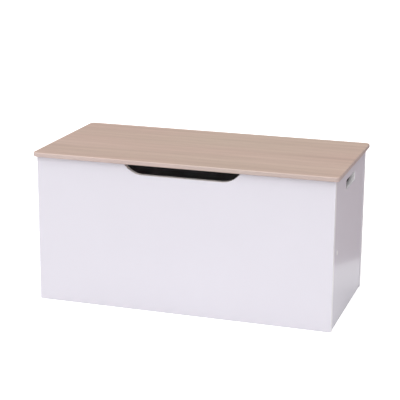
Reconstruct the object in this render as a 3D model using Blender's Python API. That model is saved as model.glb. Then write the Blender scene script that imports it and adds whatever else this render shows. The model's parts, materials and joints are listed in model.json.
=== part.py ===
"""A wooden toy box: six boards, a lid on two butt hinges, and two telescopic lid stays.

X runs along the width, Y from the front to the back and Z up, in metres. The origin is on the
floor, under the middle of the lid. Left is -X, as seen from the front.
"""

import math

import bmesh
import bpy
from mathutils import Vector

# Boards.
lid_width = 0.805
lid_depth = 0.400
board = 0.015
lid_thickness = 0.012
body_width = 0.786
body_depth = 0.380
panel_height = 0.3865
side_inset = 0.0015  # the side boards stand back from the ends of the front and back boards
lid_gap = 0.0015  # between the top of the boards and the underside of the lid
fit_gap = 0.0003  # between two pieces that touch
board_edge_radius = 0.0008
lid_edge_radius = 0.003
lid_corner_radius = 0.012

# Openings.
cutout_width = 0.3055
cutout_depth = 0.0255
cutout_end_slope = math.radians(51)  # where an end of the cut-out meets the top edge
cutout_end_radius = 0.058
cutout_corner_radius = 0.004
slot_length = 0.114
slot_height = 0.025
slot_centre_z = 0.346

# The floor of the box.
batten = 0.018
batten_base_z = 0.012
floor_thickness = 0.012

# Fastenings between the boards.
cam_distance = 0.034  # from the front edge of the side board to the middle of the cam
cam_radius = 0.005
cam_cap_radius = 0.006
cam_height = panel_height / 2
dowel_radius = 0.004
dowel_length = 0.030
dowel_heights = {"lower": 0.060, "upper": 0.325}
rear_screw_heights = {"lower": 0.060, "middle": cam_height, "upper": 0.325}
rear_screw_radius = 0.0034
rear_screw_length = 0.050
bore_clearance = 0.0003

# Butt hinges.
hinge_x = 0.250
hinge_width = 0.060
leaf_length = 0.027
leaf_thickness = 0.0015
knuckle_radius = 0.004
knuckle_stand_off = 0.0002  # the barrel is this much prouder than the face of the leaf
pin_radius = 0.0017
leaf_screw_spread = 0.020
leaf_screw_length = 0.009
leaf_screw_radius = 0.0015
leaf_screw_head_radius = 0.003

# Lid stays.
stay_inset = 0.014  # from the side board to the middle of the stay
lid_pivot_reach = 0.140  # from the hinge axis forward to the stay's pivot on the lid
lid_pivot_drop = 0.012  # below the underside of the lid
side_pivot_reach = 0.042  # from the hinge axis forward to the stay's pivot on the side board
lid_opening = math.radians(85)
stud_radius = 0.003
eye_radius = 0.006
eye_width = 0.006
rod_radius = 0.003
cylinder_radius = 0.007
cylinder_bore_radius = 0.0036
cylinder_start = 0.010  # from the lid pivot to the closed end of the cylinder
cylinder_length = 0.130
bracket_thickness = 0.002

# Bumpers under the lid.
bumper_x = 0.330
bumper_radius = 0.004

# Where the boards lie.
front_y = -body_depth / 2
rear_y = body_depth / 2
inner_front_y = front_y + board
inner_rear_y = rear_y - board
side_outer_x = body_width / 2 - side_inset
side_inner_x = side_outer_x - board
side_middle_x = side_outer_x - board / 2
side_front_y = inner_front_y + fit_gap
side_rear_y = inner_rear_y - fit_gap
lid_underside_z = panel_height + lid_gap
lid_top_z = lid_underside_z + lid_thickness
floor_z = batten_base_z + batten + fit_gap

# The hinge axis, behind the back board and just under the lid.
leaf_under_z = panel_height + 2 * fit_gap
leaf_top_z = leaf_under_z + leaf_thickness
axis_y = rear_y + fit_gap + knuckle_radius
axis_z = leaf_top_z + knuckle_stand_off - knuckle_radius
pocket_top_z = axis_z + knuckle_radius + fit_gap

# Each stay has both its pivots at one distance from the hinge axis, so it turns half as far as
# the lid, and its rod stays in line with its cylinder.
lid_pivot_z = lid_underside_z - lid_pivot_drop
pivot_radius = math.hypot(lid_pivot_reach, axis_z - lid_pivot_z)
lid_pivot_y = axis_y - lid_pivot_reach
side_pivot_y = axis_y - side_pivot_reach
side_pivot_z = axis_z - math.sqrt(pivot_radius**2 - side_pivot_reach**2)
stay_x = side_inner_x - stay_inset

sides = {"left": -1, "right": 1}


def clear_scene():
    for old in list(bpy.data.objects):
        bpy.data.objects.remove(old)


def make_material(name, colour, roughness, metallic=0.0):
    made = bpy.data.materials.new(name)
    made.use_nodes = True
    shader = made.node_tree.nodes["Principled BSDF"]
    shader.inputs["Base Color"].default_value = (*colour, 1.0)
    shader.inputs["Roughness"].default_value = roughness
    shader.inputs["Metallic"].default_value = metallic
    return made


def make_empty(name, location):
    made = bpy.data.objects.new(name, None)
    made.location = location
    bpy.context.scene.collection.objects.link(made)
    return made


def finish_object(name, shape, location, material=None, parent=None, smooth=False):
    """Turns a bmesh into an object at a world location. An object with no material is a cutter."""
    bmesh.ops.recalc_face_normals(shape, faces=shape.faces)
    mesh = bpy.data.meshes.new(name)
    shape.to_mesh(mesh)
    shape.free()
    made = bpy.data.objects.new(name, mesh)
    made.location = Vector(location) - (parent.location if parent else Vector())
    made.parent = parent
    bpy.context.scene.collection.objects.link(made)
    if material:
        mesh.materials.append(material)
    else:
        made.hide_render = True
        made.display_type = "WIRE"
    if smooth:
        mesh.shade_smooth()
        mesh.set_sharp_from_angle(angle=math.radians(40))
    return made


def rounded_outline(corners, radii, steps=6):
    """The closed outline through the corners, each rounded by its radius, as (u, v) points."""
    points = []
    for index, corner in enumerate(corners):
        here = Vector(corner)
        before = (Vector(corners[index - 1]) - here).normalized()
        after = (Vector(corners[(index + 1) % len(corners)]) - here).normalized()
        radius = radii[index]
        if radius == 0:
            points.append(here)
            continue
        half_angle = before.angle(after) / 2
        bisector = (before + after).normalized()
        centre = here + bisector * radius / math.sin(half_angle)
        start = here + before * radius / math.tan(half_angle) - centre
        end = here + after * radius / math.tan(half_angle) - centre
        turn = start.angle_signed(end)
        for step in range(steps + 1):
            angle = turn * step / steps
            spun = Vector(
                (
                    start.x * math.cos(angle) + start.y * math.sin(angle),
                    start.y * math.cos(angle) - start.x * math.sin(angle),
                )
            )
            points.append(centre + spun)
    apart = [p for i, p in enumerate(points) if (p - points[i - 1]).length > 1e-5]
    return [(p.x, p.y) for p in apart]


def rectangle(low_u, high_u, low_v, high_v):
    return [(low_u, low_v), (high_u, low_v), (high_u, high_v), (low_u, high_v)]


def extruded(name, outline, along, low, high, origin, **settings):
    """The (u, v) outline pulled from low to high along X, Y or Z. All values are world ones."""
    spread = {"X": (1, 2, 0), "Y": (0, 2, 1), "Z": (0, 1, 2)}[along]
    shape = bmesh.new()
    rings = []
    for level in (low, high):
        ring = []
        for u, v in outline:
            point = [0.0, 0.0, 0.0]
            for axis, value in zip(spread, (u, v, level)):
                point[axis] = value - origin[axis]
            ring.append(shape.verts.new(point))
        rings.append(ring)
    shape.faces.new(rings[0])
    shape.faces.new(rings[1])
    for index in range(len(outline)):
        shape.faces.new(
            (rings[0][index - 1], rings[0][index], rings[1][index], rings[1][index - 1])
        )
    return finish_object(name, shape, origin, **settings)


def box(name, low, high, origin=None, **settings):
    """A box between two world corners, whose origin is its middle unless one is given."""
    middle = [(a + b) / 2 for a, b in zip(low, high)]
    outline = rectangle(low[0], high[0], low[1], high[1])
    return extruded(name, outline, "Z", low[2], high[2], origin or middle, **settings)


def turned(name, profile, start, direction, segments=10, flat=False, **settings):
    """A profile of (distance, radius) points turned about a line from start along direction."""
    shape = bmesh.new()
    rings = []
    for distance, radius in profile:
        ring = []
        for step in range(segments):
            angle = 2 * math.pi * (step + 0.5) / segments
            point = (radius * math.cos(angle), radius * math.sin(angle), distance)
            ring.append(shape.verts.new(point))
        rings.append(ring)
    shape.faces.new(rings[0])
    shape.faces.new(rings[-1])
    for lower, upper in zip(rings, rings[1:]):
        for index in range(segments):
            shape.faces.new((lower[index - 1], lower[index], upper[index], upper[index - 1]))
    made = finish_object(name, shape, start, smooth=not flat, **settings)
    made.rotation_mode = "QUATERNION"
    made.rotation_quaternion = Vector((0, 0, 1)).rotation_difference(Vector(direction))
    return made


def rod(name, radius, length, start, direction, segments=10, **settings):
    return turned(name, [(0, radius), (length, radius)], start, direction, segments, **settings)


def combine(target, other, operation):
    """A Boolean of one object with another, which stays in the scene as a hidden helper."""
    other.hide_render = True
    other.display_type = "WIRE"
    step = target.modifiers.new(other.name, "BOOLEAN")
    step.operation = operation
    step.object = other
    step.solver = "EXACT"


def cut(target, cutter):
    combine(target, cutter, "DIFFERENCE")


def join(target, other):
    combine(target, other, "UNION")


def round_edges(target, radius, segments=2, limit=30):
    bevel = target.modifiers.new("rounded edges", "BEVEL")
    bevel.width = radius
    bevel.segments = segments
    bevel.limit_method = "ANGLE"
    bevel.angle_limit = math.radians(limit)
    bevel.use_clamp_overlap = True


def cut_blind_bore(board_piece, name, radius, depth, mouth, direction, segments=12):
    """A bore into a board from its mouth along direction, open at the mouth."""
    inward = Vector(direction)
    start = Vector(mouth) - inward * 0.001
    cut(board_piece, rod(name, radius, depth + 0.001, start, inward, segments))


def countersunk_screw(name, start, direction, material, parent=None):
    """A wood screw whose head is flush with start and whose shank runs along direction."""
    neck = leaf_thickness - 0.0003
    profile = [
        (0, leaf_screw_head_radius),
        (0.0003, leaf_screw_head_radius),
        (neck, leaf_screw_radius),
        (leaf_screw_length - 0.003, leaf_screw_radius),
        (leaf_screw_length, 0.0004),
    ]
    return turned(name, profile, start, direction, material=material, parent=parent)


def countersunk_hole(plate, name, start, direction):
    """The hole for countersunk_screw through a plate whose outer face is at start."""
    neck = leaf_thickness - 0.0003
    head = leaf_screw_head_radius + bore_clearance
    shank = leaf_screw_radius + bore_clearance
    profile = [(-0.001, head), (0.0004, head), (neck + 0.0002, shank), (0.004, shank)]
    cut(plate, turned(name, profile, start, direction, 12))


def make_panels():
    front_outline = front_panel_outline()
    middle_z = panel_height / 2
    front = extruded(
        "front_panel",
        front_outline,
        "Y",
        front_y,
        inner_front_y,
        (0, front_y + board / 2, middle_z),
        material=white_board,
    )
    round_edges(front, board_edge_radius, 1)
    back = box(
        "back_panel",
        (-body_width / 2, inner_rear_y, 0),
        (body_width / 2, rear_y, panel_height),
        material=white_board,
    )
    round_edges(back, board_edge_radius, 1)
    side_panels = {side: make_side_panel(side, sign) for side, sign in sides.items()}
    return front, back, side_panels


def front_panel_outline():
    """The front board with the finger cut-out along its top edge, as (x, z) points."""
    half_width = body_width / 2
    half_top = cutout_width / 2
    half_bottom = half_top - cutout_depth / math.tan(cutout_end_slope)
    bottom_z = panel_height - cutout_depth
    corners = [
        (-half_width, 0),
        (half_width, 0),
        (half_width, panel_height),
        (half_top, panel_height),
        (half_bottom, bottom_z),
        (-half_bottom, bottom_z),
        (-half_top, panel_height),
        (-half_width, panel_height),
    ]
    corner = cutout_corner_radius
    end = cutout_end_radius
    return rounded_outline(corners, [0, 0, 0, corner, end, end, corner, 0], 8)


def make_side_panel(side, sign):
    """A side board with its oblong handle slot."""
    low_x, high_x = sorted((sign * side_inner_x, sign * side_outer_x))
    panel = box(
        f"{side}_side_panel",
        (low_x, side_front_y, 0),
        (high_x, side_rear_y, panel_height),
        material=white_board,
    )
    half_length = slot_length / 2
    half_height = slot_height / 2
    corners = rectangle(
        -half_length, half_length, slot_centre_z - half_height, slot_centre_z + half_height
    )
    outline = rounded_outline(corners, [half_height * 0.999] * 4, 5)
    slot = extruded(
        f"{side}_slot_cutter",
        outline,
        "X",
        low_x - 0.005,
        high_x + 0.005,
        (sign * side_middle_x, 0, slot_centre_z),
    )
    cut(panel, slot)
    round_edges(panel, board_edge_radius, 1)
    return panel


def make_floor():
    """The bottom board and the four battens that it rests on."""
    reach_x = side_inner_x - fit_gap
    reach_y = inner_rear_y - fit_gap
    top_z = batten_base_z + batten
    for name, sign in {"front": -1, "rear": 1}.items():
        low_y, high_y = sorted((sign * reach_y, sign * (reach_y - batten)))
        box(
            f"{name}_batten",
            (-reach_x, low_y, batten_base_z),
            (reach_x, high_y, top_z),
            material=plain_wood,
        )
    end_y = reach_y - batten - fit_gap
    for side, sign in sides.items():
        low_x, high_x = sorted((sign * reach_x, sign * (reach_x - batten)))
        box(
            f"{side}_batten",
            (low_x, -end_y, batten_base_z),
            (high_x, end_y, top_z),
            material=plain_wood,
        )
    box(
        "bottom_panel",
        (-reach_x, -reach_y, floor_z),
        (reach_x, reach_y, floor_z + floor_thickness),
        material=white_board,
    )


def make_lid(hinge_empty):
    corners = rectangle(-lid_width / 2, lid_width / 2, -lid_depth / 2, lid_depth / 2)
    outline = rounded_outline(corners, [lid_corner_radius] * 4)
    lid = extruded(
        "lid_panel",
        outline,
        "Z",
        lid_underside_z,
        lid_top_z,
        (0, axis_y, axis_z),
        material=lid_wood,
        parent=hinge_empty,
    )
    round_edges(lid, lid_edge_radius, 3, limit=50)
    for side, sign in sides.items():
        half = hinge_width / 2 + fit_gap
        pocket = box(
            f"{side}_hinge_pocket",
            (sign * hinge_x - half, axis_y - 0.005 - leaf_length - fit_gap, 0.380),
            (sign * hinge_x + half, lid_depth / 2 + 0.005, pocket_top_z),
        )
        cut(lid, pocket)
    return lid


def make_cam_joint(side, sign, front, panel):
    """A cam lock: its bolt in the front board, and its cam and cap in the side board."""
    cam_y = side_front_y + cam_distance
    face_x = sign * side_outer_x
    inward = (-sign, 0, 0)
    cam_depth = 0.012
    cam_bore = cam_radius + bore_clearance
    mouth = (face_x, cam_y, cam_height)
    cut_blind_bore(panel, f"{side}_cam_bore", cam_bore, cam_depth, mouth, inward, 16)
    bolt_bore = 0.0032
    edge_mouth = (sign * side_middle_x, side_front_y, cam_height)
    cut_blind_bore(
        panel, f"{side}_bolt_bore", bolt_bore, cam_distance - 0.003, edge_mouth, (0, 1, 0)
    )
    thread_radius = 0.0025
    thread_depth = 0.010
    front_mouth = (sign * side_middle_x, inner_front_y, cam_height)
    cut_blind_bore(
        front,
        f"{side}_thread_bore",
        thread_radius + bore_clearance,
        thread_depth + fit_gap,
        front_mouth,
        (0, -1, 0),
    )
    reach = thread_depth + fit_gap + cam_distance
    neck = 0.0015
    bolt_profile = [
        (0, thread_radius),
        (reach - 0.0055, thread_radius),
        (reach - 0.005, neck),
        (reach - 0.0015, neck),
        (reach - 0.001, 0.0022),
        (reach + 0.001, 0.0022),
    ]
    bolt_start = (sign * side_middle_x, inner_front_y - thread_depth, cam_height)
    turned(f"{side}_cam_bolt", bolt_profile, bolt_start, (0, 1, 0), material=steel)
    cam_length = 0.0098
    cam_end_x = sign * (side_outer_x - cam_depth + fit_gap)
    cam = rod(
        f"{side}_cam_lock",
        cam_radius,
        cam_length,
        (cam_end_x, cam_y, cam_height),
        (sign, 0, 0),
        16,
        material=steel,
    )
    throat = rod(
        f"{side}_cam_throat",
        0.0029,
        0.012,
        (sign * side_middle_x, cam_y - 0.010, cam_height),
        (0, 1, 0),
    )
    cut(cam, throat)
    cap_profile = [
        (-0.0010, cam_radius - 0.0006),
        (fit_gap, cam_radius - 0.0006),
        (fit_gap, cam_cap_radius),
        (0.0009, cam_cap_radius),
        (0.0012, cam_cap_radius - 0.0006),
    ]
    turned(f"{side}_cam_cap", cap_profile, mouth, (sign, 0, 0), 16, material=white_plastic)


def make_dowels(side, sign, front, panel):
    """Dowels in the front board's inner face and in the side board's front edge."""
    into_front = 0.010
    bore = dowel_radius + bore_clearance
    chamfer = 0.0008
    profile = [
        (0, dowel_radius - chamfer),
        (chamfer, dowel_radius),
        (dowel_length - chamfer, dowel_radius),
        (dowel_length, dowel_radius - chamfer),
    ]
    for place, height in dowel_heights.items():
        name = f"{side}_dowel_{place}"
        x = sign * side_middle_x
        front_mouth = (x, inner_front_y, height)
        cut_blind_bore(front, name + "_front_bore", bore, into_front + fit_gap, front_mouth, (0, -1, 0))
        edge_mouth = (x, side_front_y, height)
        depth = dowel_length - into_front
        cut_blind_bore(panel, name + "_side_bore", bore, depth, edge_mouth, (0, 1, 0))
        start = (x, inner_front_y - into_front, height)
        turned(name, profile, start, (0, 1, 0), material=plain_wood)


def make_rear_screws(side, sign, back, panel):
    """Screws through the back board into the rear edge of a side board."""
    head_radius = 0.005
    bore = rear_screw_radius + bore_clearance
    for place, height in rear_screw_heights.items():
        name = f"{side}_rear_screw_{place}"
        x = sign * side_middle_x
        head_start = (x, rear_y, height)
        hole_profile = [
            (-0.001, head_radius + bore_clearance),
            (0.0012, head_radius + bore_clearance),
            (0.0044, bore),
            (board + 0.001, bore),
        ]
        cut(back, turned(name + "_hole", hole_profile, head_start, (0, -1, 0), 12))
        depth = rear_screw_length - board
        cut_blind_bore(panel, name + "_bore", bore, depth, (x, side_rear_y, height), (0, -1, 0))
        profile = [
            (0.0002, head_radius),
            (0.0010, head_radius),
            (0.0042, rear_screw_radius),
            (rear_screw_length - 0.004, rear_screw_radius),
            (rear_screw_length, 0.0012),
        ]
        screw = turned(name, profile, head_start, (0, -1, 0), material=steel)
        socket_start = (x, rear_y + 0.001, height)
        socket = rod(name + "_socket", 0.0022, 0.0035, socket_start, (0, -1, 0), 6, flat=True)
        cut(screw, socket)


def make_hinge(side, sign, back, lid, hinge_empty):
    """A butt hinge: one leaf on the back board, one under the lid, and the pin."""
    middle_x = sign * hinge_x
    half = hinge_width / 2
    third = hinge_width / 6
    leaf_edge = 0.005  # from the hinge axis to the straight edge of a leaf
    tongue = 0.002  # how far each tongue runs into its leaf
    along_x = (1, 0, 0)

    plate_y = axis_y - knuckle_radius + knuckle_stand_off
    box_leaf = box(
        f"{side}_hinge_box_leaf",
        (middle_x - half, plate_y, axis_z - leaf_edge - leaf_length),
        (middle_x + half, plate_y + leaf_thickness, axis_z - leaf_edge),
        material=zinc,
    )
    for end, low_x in (("a", middle_x - half), ("b", middle_x + third + fit_gap)):
        high_x = low_x + half - third - fit_gap
        helper = f"{side}_hinge_box_{end}"
        shoulder = box(
            helper + "_shoulder",
            (low_x + 0.0001, plate_y + 0.0001, axis_z - leaf_edge - tongue),
            (high_x - 0.0001, plate_y + leaf_thickness - 0.0001, axis_z - 0.0005),
        )
        join(box_leaf, shoulder)
        knuckle = rod(
            helper + "_knuckle", knuckle_radius, high_x - low_x, (low_x, axis_y, axis_z), along_x, 16
        )
        join(box_leaf, knuckle)

    lid_leaf = box(
        f"{side}_hinge_lid_leaf",
        (middle_x - half, axis_y - leaf_edge - leaf_length, leaf_under_z),
        (middle_x + half, axis_y - leaf_edge, leaf_top_z),
        origin=(middle_x, axis_y, axis_z),
        material=zinc,
        parent=hinge_empty,
    )
    shoulder = box(
        f"{side}_hinge_lid_shoulder",
        (middle_x - third + 0.0001, axis_y - leaf_edge - tongue, leaf_under_z + 0.0001),
        (middle_x + third - 0.0001, axis_y - 0.0005, leaf_top_z - 0.0001),
    )
    join(lid_leaf, shoulder)
    knuckle_start = (middle_x - third, axis_y, axis_z)
    knuckle = rod(
        f"{side}_hinge_lid_knuckle", knuckle_radius, 2 * third, knuckle_start, along_x, 16
    )
    join(lid_leaf, knuckle)

    barrel_start = (middle_x - half - 0.001, axis_y, axis_z)
    barrel_length = hinge_width + 0.002
    pin_bore = pin_radius + bore_clearance
    for leaf, name in ((box_leaf, "box"), (lid_leaf, "lid")):
        bore = rod(
            f"{side}_hinge_{name}_bore", pin_bore, barrel_length, barrel_start, along_x, 12
        )
        cut(leaf, bore)
    pin_start = (middle_x - half, axis_y, axis_z)
    rod(f"{side}_hinge_pin", pin_radius, hinge_width, pin_start, along_x, 12, material=zinc)

    for end, offset in (("left", -leaf_screw_spread), ("right", leaf_screw_spread)):
        x = middle_x + offset
        name = f"{side}_hinge_box_screw_{end}"
        head = (x, plate_y + leaf_thickness, axis_z - leaf_edge - leaf_length / 2)
        countersunk_hole(box_leaf, name + "_hole", head, (0, -1, 0))
        countersunk_screw(name, head, (0, -1, 0), zinc)
        mouth = (x, rear_y, head[2])
        bore = leaf_screw_radius + bore_clearance
        cut_blind_bore(back, name + "_bore", bore, leaf_screw_length - 0.001, mouth, (0, -1, 0))

        name = f"{side}_hinge_lid_screw_{end}"
        head = (x, axis_y - leaf_edge - leaf_length * 0.75, leaf_under_z)
        countersunk_hole(lid_leaf, name + "_hole", head, (0, 0, 1))
        countersunk_screw(name, head, (0, 0, 1), zinc, hinge_empty)
        mouth = (x, head[1], pocket_top_z)
        cut_blind_bore(lid, name + "_bore", bore, leaf_screw_length - 0.001, mouth, (0, 0, 1))


def make_stay(side, sign, lid, panel, hinge_empty):
    """A telescopic stay: brackets on the side board and the lid, a rod and a cylinder."""
    x = sign * stay_x
    lid_pivot = Vector((x, lid_pivot_y, lid_pivot_z))
    side_pivot = Vector((x, side_pivot_y, side_pivot_z))
    side_empty = make_empty(f"{side}_stay_side_pivot", side_pivot)
    lid_empty = make_empty(f"{side}_stay_lid_pivot", lid_pivot)
    make_side_bracket(side, sign, panel, side_pivot)
    make_lid_bracket(side, sign, lid, lid_pivot, hinge_empty)

    down = (side_pivot - lid_pivot).normalized()
    closed_length = (side_pivot - lid_pivot).length
    lid_angle = (lid_pivot.yz - Vector((axis_y, axis_z))).angle(
        side_pivot.yz - Vector((axis_y, axis_z))
    )
    open_length = 2 * pivot_radius * math.sin((lid_angle + lid_opening) / 2)
    cylinder_end = cylinder_start + cylinder_length
    insertion = 0.008
    rod_length = open_length - cylinder_end + insertion
    assert closed_length - rod_length > cylinder_start + 0.005
    across = (sign, 0, 0)

    rod_piece = rod(
        f"{side}_stay_rod",
        rod_radius,
        rod_length - 0.0045,
        side_pivot - down * 0.0045,
        -down,
        16,
        material=chrome,
        parent=side_empty,
    )
    add_eye(rod_piece, f"{side}_stay_rod", side_pivot, across)

    cylinder = rod(
        f"{side}_stay_cylinder",
        cylinder_radius,
        cylinder_length,
        lid_pivot + down * cylinder_start,
        down,
        20,
        material=grey_metal,
        parent=lid_empty,
    )
    bore_start = cylinder_start + 0.004
    bore = rod(
        f"{side}_stay_cylinder_bore",
        cylinder_bore_radius,
        cylinder_length,
        lid_pivot + down * bore_start,
        down,
        16,
    )
    cut(cylinder, bore)
    neck = rod(
        f"{side}_stay_cylinder_neck", 0.0035, 0.008, lid_pivot + down * 0.0045, down, 12
    )
    join(cylinder, neck)
    add_eye(cylinder, f"{side}_stay_cylinder", lid_pivot, across)


def add_eye(piece, name, pivot, across):
    """Joins a ring round a pivot to the end of a rod or a cylinder."""
    start = pivot - Vector(across) * eye_width / 2
    join(piece, rod(name + "_eye", eye_radius, eye_width, start, across, 16))
    hole = rod(
        name + "_eye_hole",
        stud_radius + bore_clearance,
        eye_width + 0.010,
        pivot - Vector(across) * (eye_width / 2 + 0.005),
        across,
        12,
    )
    cut(piece, hole)


def stud_profile(length):
    """A pivot stud with a retaining head, from its plate inwards."""
    head_start = length - 0.0015
    return [
        (0, stud_radius),
        (head_start, stud_radius),
        (head_start, stud_radius + 0.0015),
        (length - 0.0003, stud_radius + 0.0015),
        (length, stud_radius + 0.0010),
    ]


def make_side_bracket(side, sign, panel, pivot):
    plate_outer = side_inner_x - fit_gap
    plate_inner = plate_outer - bracket_thickness
    low_x, high_x = sorted((sign * plate_outer, sign * plate_inner))
    half_width = 0.008
    half_height = 0.020
    name = f"{side}_stay_side_bracket"
    corners = rectangle(
        pivot.y - half_width, pivot.y + half_width, pivot.z - half_height, pivot.z + half_height
    )
    bracket = extruded(
        name, rounded_outline(corners, [0.004] * 4, 3), "X", low_x, high_x, tuple(pivot), material=zinc
    )
    root = Vector((sign * (plate_inner + 0.001), pivot.y, pivot.z))
    length = plate_inner + 0.001 - (stay_x - eye_width / 2 - 0.0022)
    stud = turned(name + "_stud", stud_profile(length), root, (-sign, 0, 0), 12)
    join(bracket, stud)
    for place, offset in (("upper", 0.014), ("lower", -0.014)):
        screw_name = f"{side}_stay_side_screw_{place}"
        head = (sign * plate_inner, pivot.y, pivot.z + offset)
        countersunk_hole(bracket, screw_name + "_hole", head, (sign, 0, 0))
        countersunk_screw(screw_name, head, (sign, 0, 0), zinc)
        mouth = (sign * side_inner_x, head[1], head[2])
        bore = leaf_screw_radius + bore_clearance
        cut_blind_bore(panel, screw_name + "_bore", bore, leaf_screw_length - 0.001, mouth, (sign, 0, 0))


def make_lid_bracket(side, sign, lid, pivot, hinge_empty):
    plate_top = lid_underside_z - fit_gap
    plate_under = plate_top - bracket_thickness
    half_length = 0.020
    lug_near = stay_x + cylinder_radius + 0.0005
    lug_far = lug_near + bracket_thickness
    low_x, high_x = sorted((sign * (stay_x - 0.008), sign * lug_far))
    name = f"{side}_stay_lid_bracket"
    corners = rectangle(low_x, high_x, pivot.y - half_length, pivot.y + half_length)
    bracket = extruded(
        name,
        rounded_outline(corners, [0.004] * 4, 3),
        "Z",
        plate_under,
        plate_top,
        tuple(pivot),
        material=zinc,
        parent=hinge_empty,
    )
    lug_corners = [
        (pivot.y - 0.011, plate_top - 0.0004),
        (pivot.y + 0.011, plate_top - 0.0004),
        (pivot.y + 0.008, pivot.z - 0.007),
        (pivot.y - 0.008, pivot.z - 0.007),
    ]
    lug_outline = rounded_outline(lug_corners, [0, 0, 0.006, 0.006], 4)
    low_x, high_x = sorted((sign * lug_near, sign * (lug_far - 0.0002)))
    join(bracket, extruded(name + "_lug", lug_outline, "X", low_x, high_x, tuple(pivot)))
    root = Vector((sign * (lug_near + 0.001), pivot.y, pivot.z))
    length = lug_near + 0.001 - (stay_x - eye_width / 2 - 0.0022)
    join(bracket, turned(name + "_stud", stud_profile(length), root, (-sign, 0, 0), 12))
    for place, offset in (("front", -0.014), ("rear", 0.014)):
        screw_name = f"{side}_stay_lid_screw_{place}"
        head = (sign * (stay_x - 0.001), pivot.y + offset, plate_under)
        countersunk_hole(bracket, screw_name + "_hole", head, (0, 0, 1))
        countersunk_screw(screw_name, head, (0, 0, 1), zinc, hinge_empty)
        mouth = (head[0], head[1], lid_underside_z)
        bore = leaf_screw_radius + bore_clearance
        cut_blind_bore(lid, screw_name + "_bore", bore, leaf_screw_length - 0.001, mouth, (0, 0, 1))


def make_bumper(side, sign, front):
    """A push-in bumper in the top edge of the front board, which the lid rests on."""
    y = front_y + board / 2
    stem_radius = 0.0015
    stem_length = 0.008
    mouth = (sign * bumper_x, y, panel_height)
    cut_blind_bore(front, f"{side}_bumper_bore", stem_radius + bore_clearance, 0.009, mouth, (0, 0, -1))
    profile = [
        (0, stem_radius),
        (stem_length + fit_gap, stem_radius),
        (stem_length + fit_gap, bumper_radius),
        (stem_length + lid_gap - 2 * fit_gap, bumper_radius),
        (stem_length + lid_gap - fit_gap, bumper_radius - 0.0006),
    ]
    start = (sign * bumper_x, y, panel_height - stem_length)
    turned(f"{side}_bumper", profile, start, (0, 0, 1), 12, material=soft_rubber)


clear_scene()

white_board = make_material("white_board", (0.80, 0.79, 0.82), 0.35)
lid_wood = make_material("lid_wood", (0.60, 0.47, 0.39), 0.50)
plain_wood = make_material("plain_wood", (0.62, 0.48, 0.32), 0.65)
white_plastic = make_material("white_plastic", (0.82, 0.81, 0.80), 0.45)
soft_rubber = make_material("soft_rubber", (0.72, 0.72, 0.70), 0.70)
zinc = make_material("zinc", (0.62, 0.62, 0.63), 0.35, 1.0)
steel = make_material("steel", (0.55, 0.55, 0.56), 0.40, 1.0)
chrome = make_material("chrome", (0.75, 0.75, 0.76), 0.12, 1.0)
grey_metal = make_material("grey_metal", (0.45, 0.46, 0.48), 0.40, 0.6)

lid_hinge = make_empty("lid_hinge_axis", Vector((0, axis_y, axis_z)))
front_panel, back_panel, side_panels = make_panels()
make_floor()
lid_panel = make_lid(lid_hinge)
for side_name, side_sign in sides.items():
    side_panel = side_panels[side_name]
    make_cam_joint(side_name, side_sign, front_panel, side_panel)
    make_dowels(side_name, side_sign, front_panel, side_panel)
    make_rear_screws(side_name, side_sign, back_panel, side_panel)
    make_hinge(side_name, side_sign, back_panel, lid_panel, lid_hinge)
    make_stay(side_name, side_sign, lid_panel, side_panel, lid_hinge)
    make_bumper(side_name, side_sign, front_panel)
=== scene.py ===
import json
import math

import bmesh
import bpy
from mathutils import Matrix, Vector


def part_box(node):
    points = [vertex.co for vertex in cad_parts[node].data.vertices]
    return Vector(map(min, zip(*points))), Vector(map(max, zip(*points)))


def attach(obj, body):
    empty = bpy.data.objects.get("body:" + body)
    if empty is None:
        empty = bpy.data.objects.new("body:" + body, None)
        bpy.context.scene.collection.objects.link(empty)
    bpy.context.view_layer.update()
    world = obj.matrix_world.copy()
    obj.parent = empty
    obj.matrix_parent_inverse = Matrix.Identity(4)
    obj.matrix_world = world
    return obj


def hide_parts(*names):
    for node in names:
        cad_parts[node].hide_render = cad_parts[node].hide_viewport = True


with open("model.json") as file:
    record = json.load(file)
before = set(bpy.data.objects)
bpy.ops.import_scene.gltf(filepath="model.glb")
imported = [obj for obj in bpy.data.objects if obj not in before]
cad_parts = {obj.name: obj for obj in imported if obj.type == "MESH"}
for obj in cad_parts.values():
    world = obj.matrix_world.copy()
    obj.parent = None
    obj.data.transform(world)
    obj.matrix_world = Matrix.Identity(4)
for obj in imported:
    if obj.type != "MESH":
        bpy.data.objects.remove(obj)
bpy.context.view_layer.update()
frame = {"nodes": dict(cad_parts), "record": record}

print("toy box: frame loaded")

sides = {"left": -1, "right": 1}
record = frame["record"]
joints = {joint["name"]: joint for joint in record["behaviour"]["joints"]}


# Shaping helpers. Outlines are lists of (u, v) points, profiles of (distance, radius) points.

def roundCorners(corners, radii, steps=8, closed=True):
    points = []
    last = len(corners) - 1
    for index, corner in enumerate(corners):
        here = Vector(corner)
        atEnd = not closed and index in (0, last)
        if atEnd or radii[index] == 0:
            points.append(here)
            continue
        before = (Vector(corners[index - 1]) - here).normalized()
        after = (Vector(corners[(index + 1) % len(corners)]) - here).normalized()
        halfAngle = before.angle(after) / 2
        centre = here + (before + after).normalized() * radii[index] / math.sin(halfAngle)
        start = here + before * radii[index] / math.tan(halfAngle) - centre
        end = here + after * radii[index] / math.tan(halfAngle) - centre
        turn = start.angle_signed(end)
        for step in range(steps + 1):
            points.append(centre + Matrix.Rotation(-turn * step / steps, 2) @ start)
    apart = [p for i, p in enumerate(points) if (p - points[i - 1]).length > 1e-6]
    return [(p.x, p.y) for p in apart]


def rectangle(lowU, highU, lowV, highV):
    return [(lowU, lowV), (highU, lowV), (highU, highV), (lowU, highV)]


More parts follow.
